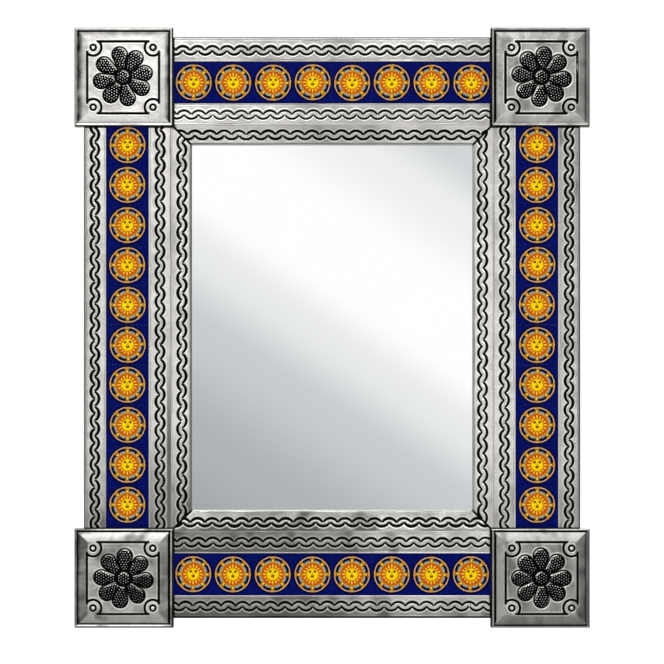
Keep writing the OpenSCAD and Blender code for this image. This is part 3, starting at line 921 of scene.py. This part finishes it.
def cap_face(x, z, corner):
    """Height above the wall, black and shine of a cap's face."""
    seed = 500 + sum(map(ord, corner))
    cap = CAPS[corner]
    scribed = scribed_relief(x - cap["frame_x"], z - cap["frame_z"])
    height, black, shine = laid_on(border_relief(x, z, corner, seed), scribed)
    x_off, z_off = x - cap["off_x"], z - cap["off_z"]
    flower, more, dark, light = rosette_relief(x_off, z_off, PETALS[corner], cap["lean"], seed)
    black = np.maximum(black * (1 - flower), dark)
    black = np.maximum(black, cap["stains"] * np.clip(Ripple(seed + 3, 9, 55)(x, z), 0, 1.6))
    shine = np.maximum(shine * (1 - flower), light)
    dents = 0.1 * Ripple(seed, 22, 110)(x, z) + 0.02 * Ripple(seed + 1, 5, 15)(x, z)
    height = height + more + dents * smooth(np.maximum(np.abs(x), np.abs(z)), cap_half, cap_half - 4)
    return np.minimum(height, cap_top - 0.03), np.clip(black, 0, 1), np.clip(shine, 0, 1) * (1 - black)


def cap_lines():
    """Places of the grid lines across a cap, close together over the rosette and at the notches."""
    inner = np.arange(0, petal_tip + 1, 0.46 * STEP)
    outer = np.linspace(petal_tip + 1, cap_half, int(36 / STEP))[1:]
    half = np.concatenate([inner, outer])
    notch = cap_half - cap_past_bar
    notches = [edge + nudge for edge in (-notch, notch) for nudge in (-0.01, 0.01)]
    return np.unique(np.round(np.concatenate([-half[:0:-1], half, notches]), 4))


def corner_cap(corner):
    """An embossed cap of sheet, open behind, with its walls cut away where the bars run in."""
    sx = -1 if "left" in corner else 1
    sz = -1 if "bottom" in corner else 1
    centre_x, centre_z = sx * (cap_in_x + cap_half), sz * (cap_in_z + cap_half)
    lines = cap_lines()
    x, z = np.meshgrid(lines, lines)
    height, patina_and_shade, polish_and_highlight = cap_face(x, z, corner)
    rx, rz, high = (ring_of(values) for values in (x, z, height))

    # The bars run in through notches in the two walls that face the frame's middle
    wall = 0.001 - cap_half
    notch = cap_half - cap_past_bar
    over_bar = ((rx * sx < wall) & (rz * sz < notch)) | ((rz * sz < wall) & (rx * sx < notch))
    low = np.where(over_bar, bar_depth + 0.02, 0.0)
    inner = (cap_half - sheet_t) / cap_half
    under_rim, under_panel = groove_front - sheet_t, panel_front - sheet_t
    rings = [(1.0, high * (1 - s) + low * s) for s in (0.12, 0.4, 0.7, 1.0)]
    rings += [(inner, low), (inner, under_rim - 0.4), (0.985 * inner, under_rim), (0.9, under_rim)]
    rings += [(0.76, under_panel), (0.3, under_panel)]
    co, quads, back = pressed_shape(x, z, height, rings)
    co = place_at(centre_x, centre_z, co)
    plain = len(co) - x.size
    # The first mark holds patina and painted shade, the second bright wear and painted highlights
    marks = {
        "patina_and_shade": np.concatenate([patina_and_shade.ravel(), np.full(plain, 0.25)]),
        "polish_and_highlight": np.concatenate([polish_and_highlight.ravel(), np.zeros(plain)]),
    }
    face_co = co[quads[: (len(lines) - 1) ** 2]][..., [X, Z]] / MM
    face_uv = (face_co - [centre_x, centre_z]) / (2 * cap_half) + 0.5
    # The face fills a square of the map, and the walls lie in a strip above it
    walls, round_it = len(rings), len(back)
    level = np.repeat(np.arange(walls), round_it)
    along = np.tile(np.arange(round_it), walls)
    wall_uv = uv_of(
        ((along + b) / round_it, 0.82 + 0.17 * (level + a) / walls)
        for a, b in ((0, 1), (1, 1), (1, 0), (0, 0))
    )
    uv = np.concatenate([face_uv * 0.8, wall_uv])
    piece = build_mesh("embossed_cap_" + corner, co, quads, [back], uv, marks)
    grain = (30, 400, 300) if "left" in corner else (300, 400, 30)
    cap_tin = tin_material("tin_cap_" + corner, grain, CAPS[corner]["tone"], CAPS[corner]["mottle"])
    finish_piece(piece, "corner_cap_" + corner, cap_tin)


# Tiles


def glaze_material():
    """Hand-painted glaze: a sun in a studded ring on cobalt. The mesh gives the place on the tile
    in millimetres, with a number that differs from tile to tile."""
    material, tree, _ = new_material("talavera_glaze")
    motif = add_node(tree, "Attribute", {}, attribute_name="motif").outputs["Vector"]
    tile_x, tile_z, _ = axes_of(tree, motif)
    sway = noise(tree, motif, 0.22, 2, 0.5)
    sway_z = noise(tree, stretched(tree, motif, (1, -1, 1)), 0.31, 2, 0.5)
    dabs = noise(tree, motif, 0.55, 3, 0.6)
    fine = noise(tree, motif, 1.7, 2, 0.6)
    x = tile_x + (sway - 0.5) * 1.1
    z = tile_z + (sway_z - 0.5) * 1.1
    r = (x * x + z * z).math("SQRT")
    angle = x.math("ARCTAN2", z)
    colour = srgb(0, 8, 88)

    def folded(count, turn=0.0):
        """Place along and across the nearest of count spokes, and the angle from it."""
        sector = 2 * math.pi / count
        bent = ((angle / sector + (0.5 + turn)).math("FRACT") - 0.5) * sector
        return r * bent.math("COSINE"), r * bent.math("SINE"), bent

    def blob(a, b, half_a, half_b, soft=0.18):
        """1 inside an oval of these half sizes."""
        size = ((a / half_a) * (a / half_a) + (b / half_b) * (b / half_b)).math("SQRT")
        return size.step(1 + soft, 1 - soft)

    def paint(share, *rgb):
        """Lays a colour on by the share."""
        nonlocal colour
        colour = mix(tree, share, colour, srgb(*rgb))

    paint(sway.step(0.3, 0.7), 0, 16, 108)
    paint(fine.step(0.62, 0.8) * 0.3, 0, 2, 60)
    paint(r.step(26.4, 23.2), 4, 1, 16)

    # Rim and studded ring
    bent = folded(8, 0.5)[2]
    lustre = mix(tree, abs(bent).step(0.16, 0.3), srgb(206, 168, 158), srgb(206, 148, 84))
    colour = mix(tree, r.step(22.9, 22.4), colour, lustre)
    paint(dabs.step(0.5, 0.62) * r.band(21.7, 22.4, 0.3), 246, 208, 180)
    paint(dabs.step(0.42, 0.34) * r.band(21.4, 22.7, 0.3) * 0.6, 120, 82, 60)
    paint(r.step(21.6, 21.1), 140, 92, 30)
    bay, half_bay = abs(bent).step(0.31, 0.24), abs(bent).step(0.27, 0.2)
    paint(r.band(15.4, 18.6, 0.3) * bay, 186, 170, 104)
    paint(r.band(16.5, 18.2, 0.4) * half_bay * dabs.step(0.36, 0.5), 118, 140, 176)
    paint(r.band(15.8, 18.0, 0.4) * bay * fine.step(0.55, 0.66), 222, 222, 206)
    paint(r.band(16.0, 18.4, 0.4) * bay * fine.step(0.44, 0.36), 46, 56, 70)
    bow = r + bent * bent * 9.0
    paint(bow.band(17.9, 21.1, 0.3) * bay, 2, 5, 24)
    paint(bow.band(18.2, 19.4, 0.3) * half_bay * dabs.step(0.5, 0.6) * 0.5, 12, 40, 96)
    paint(r.band(14.2, 15.4, 0.3), 204, 150, 66)
    stud, beside, _ = folded(8)
    paint(blob(stud - 17.8, beside, 3.7, 2.5), 188, 132, 40)
    paint(blob(stud - 17.3, beside, 1.8, 1.25), 250, 196, 70)
    paint(blob(stud - 21.0, beside, 1.0, 2.6), 206, 152, 66)
    paint(blob(stud - 19.6, beside, 0.5, 1.6), 96, 62, 12)
    paint(blob(stud - 17.6, abs(beside) - 2.2, 2.0, 0.45), 84, 58, 12)

    # Orange disc, rays and face
    paint(r.step(14.5, 13.9), 188, 84, 6)
    paint(dabs.step(0.4, 0.65) * r.step(14.0, 12.5), 222, 108, 10)
    paint(r.step(11.6, 8.6), 216, 126, 4)
    ray, aside, _ = folded(16)
    reach = (angle * 4).math("COSINE") * 0.55 + 2.15
    taper = (ray - 8.0) * -0.12 + 1.25
    paint(blob(ray - reach - 8.2, aside / taper, reach, 1.2), 244, 146, 30)
    paint(blob(ray - reach * 0.8 - 8.6, aside / taper, reach * 0.75, 0.8), 255, 212, 70)
    between, off, _ = folded(16, 0.5)
    paint(blob(between - 9.5, off, 1.0, 0.55, 0.4) * 0.8, 140, 58, 0)
    paint(r.step(8.5, 7.7), 196, 118, 0)
    paint(r.step(7.8, 7.1), 255, 214, 8)
    paint(r.step(7.4, 4.0) * dabs.step(0.3, 0.6) * 0.8, 255, 232, 24)
    paint(blob(abs(x) - 0.6, z - 0.8, 0.55, 1.6, 0.5) * 0.75, 206, 138, 0)
    paint(blob(abs(x) - 3.0, z - 4.6, 2.2, 0.9, 0.5) * 0.3, 196, 124, 0)
    paint(blob(abs(x) - 3.2, z - 3.5, 1.65, 1.5, 0.3), 110, 34, 2)
    paint(blob(x, z + 2.3, 2.2, 1.9, 0.25) * (z + 1.2 - x * x * 0.2).step(0.35, -0.1), 120, 34, 0)
    paint(blob(x, z + 2.6, 0.8, 0.5, 0.4), 224, 120, 20)

    # Painted shade along the edges of the tile, where it meets its neighbours and the tin
    paint(abs(tile_x).step(24.2, 25.3).math("MAXIMUM", abs(tile_z).step(24.2, 25.3)) * 0.35, 2, 2, 40)
    relief = r.step(24.2, 23.2) * 0.5 + dabs * 0.3 + sway * 1.2
    return shaded(material, colour, fine * 0.08 + 0.12, 0.0, (relief, 0.00035, 0.5), 0.04)


def rounded_steps(half):
    """Places across a tile, close together at its rounded edges."""
    edge = half - tile_soft * (1 - np.cos(np.linspace(0, math.pi / 2, 6)))
    flat = np.linspace(0, half - tile_soft, 20 // STEP)
    positive = np.unique(np.concatenate([flat, edge]))
    return np.concatenate([-positive[:0:-1], positive])


def rounded_drop(place, half):
    """How far a tile's face has dropped at its rounded edge."""
    past = np.clip((np.abs(place) - half + tile_soft) / tile_soft, 0, 1)
    return tile_soft * (1 - np.sqrt(1 - past**2))


def glazed_tile(node, number, glaze):
    """A pressed tile with soft edges, a slightly pillowed face and a flat back."""
    (x0, x1), (z0, z1) = span(node, X), span(node, Z)
    side = node.split("_")[1]
    off_x, off_z = EDGES[side]["suns"]
    if side not in LEVEL:
        last = 9
        place = round((cap_in_z - (z0 + z1) / 2) / (z1 - z0) - 0.5)
        middle = column_top - place * column_pitch
        tile_half = column_pitch / 2 - tile_gap
        z1 = middle + tile_half
        z0 = middle - tile_half if place < last else z0
        off_z = (z0 + z1) / 2 - middle
    half_x, half_z = (x1 - x0) / 2, (z1 - z0) / 2
    x, z = np.meshgrid(rounded_steps(half_x), rounded_steps(half_z))
    uneven = Ripple(900 + number, 12, 60)
    sag = 0.12 * ((x / half_x) ** 4 + (z / half_z) ** 4) + 0.03 * (1 + uneven(x, z))
    drop = np.clip(rounded_drop(x, half_x) + rounded_drop(z, half_z), 0, 1.6)
    height = tile_front - drop - np.clip(sag, 0, 1)
    co, quads, back = pressed_shape(x, z, height, [(1.0, floor_front)])
    rng = np.random.default_rng(70 + number)
    jog_x, jog_z = rng.normal(0, 0.2, 2)
    turn = rng.normal(0, 0.02)
    mx, mz = co[:, 0] + off_x + jog_x, co[:, 2] + off_z + jog_z
    cos, sin = math.cos(turn), math.sin(turn)
    # The third number takes each tile to another place in the paint's noise
    paint_apart = 7.3
    motif = np.stack([mx * cos - mz * sin, mx * sin + mz * cos, np.full(len(co), number * paint_apart)], -1)
    co = place_at((x0 + x1) / 2, (z0 + z1) / 2, co)
    piece = build_mesh("glazed_" + node, co, quads, [back], None, {"motif": motif})
    finish_piece(piece, node, glaze)


# Mirror, board, back and hangers


def mirror_material():
    """Silvered glass, with a trace of haze."""
    material, tree, place = new_material("mirror_silver")
    haze = noise(tree, place, 14, 3, 0.5)
    colour = mix(tree, haze, (0.985, 0.99, 0.995), (0.995, 0.998, 1.0))
    return shaded(material, colour, haze.step(0.55, 0.9) * 0.02 + 0.012, 1.0)


def board_material():
    """Grey-brown pressed board."""
    material, tree, place = new_material("pressed_board")
    fibre = noise(tree, stretched(tree, place, (300, 300, 900)), 1.0, 4, 0.7)
    blotch = noise(tree, place, 30, 3, 0.6)
    layers = (fibre, srgb(176, 142, 100)), (blotch.step(0.5, 0.8) * 0.4, srgb(98, 74, 50))
    colour = coats(tree, srgb(120, 92, 62), *layers)
    return shaded(material, colour, 0.85, 0.0, (fibre, 0.0003, 0.6))


def back_tin_material(name, node, tone=1.0):
    """Dull tin plate with crystal spangles, stains, scratches and a few rust spots. A ragged band of
    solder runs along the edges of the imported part, where the piece reaches them."""
    material, tree, place = new_material(name)
    cells = add_node(tree, "TexVoronoi", {"Vector": place, "Scale": 95})
    cell = add_node(tree, "SeparateColor", {"Color": cells.outputs["Color"]})
    spangle = Field(tree, cell.outputs["Red"])
    clouds = noise(tree, place, 9, 4, 0.6, 0.5)
    spots = noise(tree, place, 60, 4, 0.7, 0.3)
    scratch = noise(tree, stretched(tree, place, (900, 200, 24)), 1.0, 2, 0.5)
    x, _, z = axes_of(tree, place)
    from_side = (abs(x) - span(node, X)[1] * MM) * -1.0
    from_end = (abs(z) - span(node, Z)[1] * MM) * -1.0
    ragged = from_side.math("MINIMUM", from_end) + (spots - 0.5) * 0.012
    solder = ragged.step(0.0085, 0.0065)
    dull, pale = (tuple(c * tone for c in colour) for colour in ((0.32, 0.32, 0.31), (0.66, 0.66, 0.64)))
    colour = coats(
        tree,
        dull,
        (spangle * 0.5 + clouds * 0.5, pale),
        (clouds.step(0.52, 0.72) * 0.6, (0.24, 0.22, 0.20)),
        (scratch.step(0.66, 0.74) * 0.5, (0.75, 0.75, 0.73)),
        (spots.step(0.62, 0.72) * clouds.step(0.5, 0.6) * 0.7, (0.17, 0.085, 0.045)),
        (solder, (0.70, 0.69, 0.67)),
        (ragged.band(0.0075, 0.0105, 0.0015) * 0.3, (0.12, 0.10, 0.085)),
    )
    roughness = spangle * 0.15 + clouds * 0.2 + 0.34 + solder * -0.12
    relief = spangle * 0.3 + scratch * 0.3 + clouds + solder * (spots + 1.0)
    return shaded(material, colour, roughness, 1.0, (relief, 0.0005, 0.4))


def wire_material():
    """Drawn steel wire, a little rusted."""
    material, tree, place = new_material("steel_wire")
    drawn = noise(tree, stretched(tree, place, (900, 900, 60)), 1.0, 3, 0.6)
    rust = noise(tree, place, 160, 4, 0.65, 0.4)
    layers = (drawn, (0.36, 0.36, 0.35)), (rust.step(0.56, 0.72) * 0.7, (0.16, 0.08, 0.045))
    colour = coats(tree, (0.16, 0.16, 0.16), *layers)
    return shaded(material, colour, rust * 0.4 + 0.25, 1.0, (drawn * 0.4 + rust, 0.0002, 0.5))


def dress(material, *nodes):
    """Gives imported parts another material."""
    for node in nodes:
        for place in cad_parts[node].material_slots:
            place.material = material


# Floor, light and camera


def make_floor():
    """A plain white floor under the hanging mirror. It keeps the shadow, and the metal does not see it."""
    mesh = bpy.data.meshes.new("floor")
    low = cad_box[0][Z] - floor_gap
    corners = ((-1, -1), (1, -1), (1, 1), (-1, 1))
    mesh.from_pydata([(a * floor_reach, b * floor_reach, low) for a, b in corners], [], [(0, 1, 2, 3)])
    material, tree, _ = new_material("floor_white")
    shaded(material, (0.9, 0.9, 0.9), 1.0, 0.0, specular=0.0)
    seen = tree.nodes["Principled BSDF"].outputs[0]
    rays = add_node(tree, "LightPath", {}).outputs
    glow = add_node(tree, "Emission", {"Strength": 0.4}).outputs[0]
    lifted = add_node(tree, "AddShader", {0: seen, 1: glow}).outputs[0]
    clear = add_node(tree, "BsdfTransparent", {}).outputs[0]
    for ray, other in (("Is Camera Ray", lifted), ("Is Glossy Ray", clear)):
        seen = add_node(tree, "MixShader", {0: rays[ray], 1: seen, 2: other}).outputs[0]
    plug(tree, tree.nodes["Material Output"].inputs["Surface"], seen)
    mesh.materials.append(material)
    floor = new_object("floor", mesh)


def make_world(distance, eye):
    """Plain soft light from all round, white to the camera. What the mirror shows straight ahead is a
    pale wall whose light falls off along a slant. The bare metal sees a duller room round that wall,
    with a light ceiling and darker sides, a bright strip close beside the wall on each hand, lighter
    flanks further out and a little more light at the far ends."""
    world = bpy.data.worlds.new("studio")
    bpy.context.scene.world = world
    world.use_nodes = True
    tree = world.node_tree
    nx, ny, nz = axes_of(tree, add_node(tree, "TexCoord", {}).outputs["Generated"])
    ahead = (ny * -1.0).math("MAXIMUM", 0.05)
    lean = 0.667
    slant = (nz + nx * lean) / ahead * (distance / MM) + (eye[Z] + lean * eye[X]) / MM
    # The wall's light by the place along the slant, in millimetres from the mirror's middle
    reach = 420
    places = (-400, -250, -110, -20, 60, 140, 250, 330)
    lights = (0.37, 0.47, 0.62, 0.83, 1, 1, 0.87, 0.68)
    ramp = add_node(tree, "ValToRGB", {"Fac": (slant + reach) / (2 * reach)})
    ramp.color_ramp.interpolation = "EASE"
    elements = ramp.color_ramp.elements
    while len(elements) < len(places):
        elements.new(0.5)
    for element, at, light in zip(elements, places, lights):
        element.position = (at + reach) / (2 * reach)
        dusk = 1 - light
        element.color = (light * (1 - 0.13 * dusk), light * (1 - 0.045 * dusk), light, 1)
    side_way, up_way = abs(nx), abs(nz)
    room = nz.band(0.12, 0.5, 0.1) * ceiling_light + wall_light
    room = room * (side_way.band(0.24, 0.34, 0.1) * -0.6 + 1.0) * (nz.band(-0.5, -0.16, 0.12) * -0.25 + 1.0)
    room = room + side_way.band(0.075, 0.17, 0.02) * wing_light
    room = room + side_way.band(0.46, 0.75, 0.06) * flank_light
    room = room + side_way.math("MAXIMUM", up_way).step(0.5, 0.7) * far_light
    tint = add_node(tree, "VectorMath", {0: (1.0, 0.99, 0.965), "Scale": room}, operation="SCALE")
    window = side_way.step(0.057, 0.050) * up_way.step(0.073, 0.065) * ny.step(0, -0.1)
    seen = mix(tree, window, tint.outputs["Vector"], ramp.outputs["Color"])
    rays = add_node(tree, "LightPath", {}).outputs
    soft = mix(tree, rays["Is Glossy Ray"], (plain_light,) * 3, seen)
    back = tree.nodes["Background"].inputs
    plug(tree, back["Color"], mix(tree, rays["Is Camera Ray"], soft, (1.0, 1.0, 1.0)))
    plug(tree, back["Strength"], 1.0)


def make_lamp(name, place, size, power):
    """A round lamp that faces the object's middle."""
    lamp = bpy.data.lights.new(name, "AREA")
    lamp.shape = "DISK"
    lamp.size = size
    lamp.energy = power
    holder = new_object(name, lamp)
    holder.location = place
    x, y, z = (-c for c in place)
    holder.rotation_euler = (math.pi / 2 + math.atan2(z, math.hypot(x, y)), 0, math.pi + math.atan2(x, -y))


def make_camera(distance, eye):
    """Straight on, from far enough that nothing leans. The picture's middle is a little low."""
    camera = new_object("camera", bpy.data.cameras.new("camera"))
    camera.location = (eye[X], -distance + eye[Y], eye[Z])
    camera.rotation_euler = (math.pi / 2, 0, 0)
    sensor = 36
    camera.data.sensor_width = sensor
    camera.data.lens = sensor * distance / (picture_side * pixel * MM)
    camera.data.clip_end = 100
    bpy.context.scene.camera = camera


off_x, off_z = picture_side / 2 - middle_px[0], middle_px[1] - picture_side / 2
eye = (off_x * pixel * MM, -bar_depth * MM, off_z * pixel * MM)
make_camera(camera_distance, eye)
make_world(camera_distance, eye)
make_lamp("key", (-0.2, -1.9, 1.15), 1.0, 6)
make_lamp("back_light", (0.6, 1.9, 1.1), 1.4, 14)
make_floor()

for side in SIDES:
    outer_channel(side)
    inner_strip(side)
    inner_moulding(side)
for corner in CORNERS:
    corner_cap(corner)
glaze = glaze_material()
tiles = sorted(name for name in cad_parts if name.startswith("tile_"))
for number, node in enumerate(tiles):
    glazed_tile(node, number, glaze)

dress(mirror_material(), "mirror_glass")
dress(board_material(), "backing_board")
dress(back_tin_material("back_tin", "back_plate"), "back_plate")
dress(back_tin_material("strap_tin", "corner_cap_top_right"), "glass_tabs")
dark_tin = back_tin_material("dark_tin", "corner_cap_top_right", 0.45)
dress(dark_tin, "hanger_strap_left", "hanger_strap_right")
dress(wire_material(), "hanger_ring_left", "hanger_ring_right")

bpy.context.scene.view_settings.view_transform = "Standard"
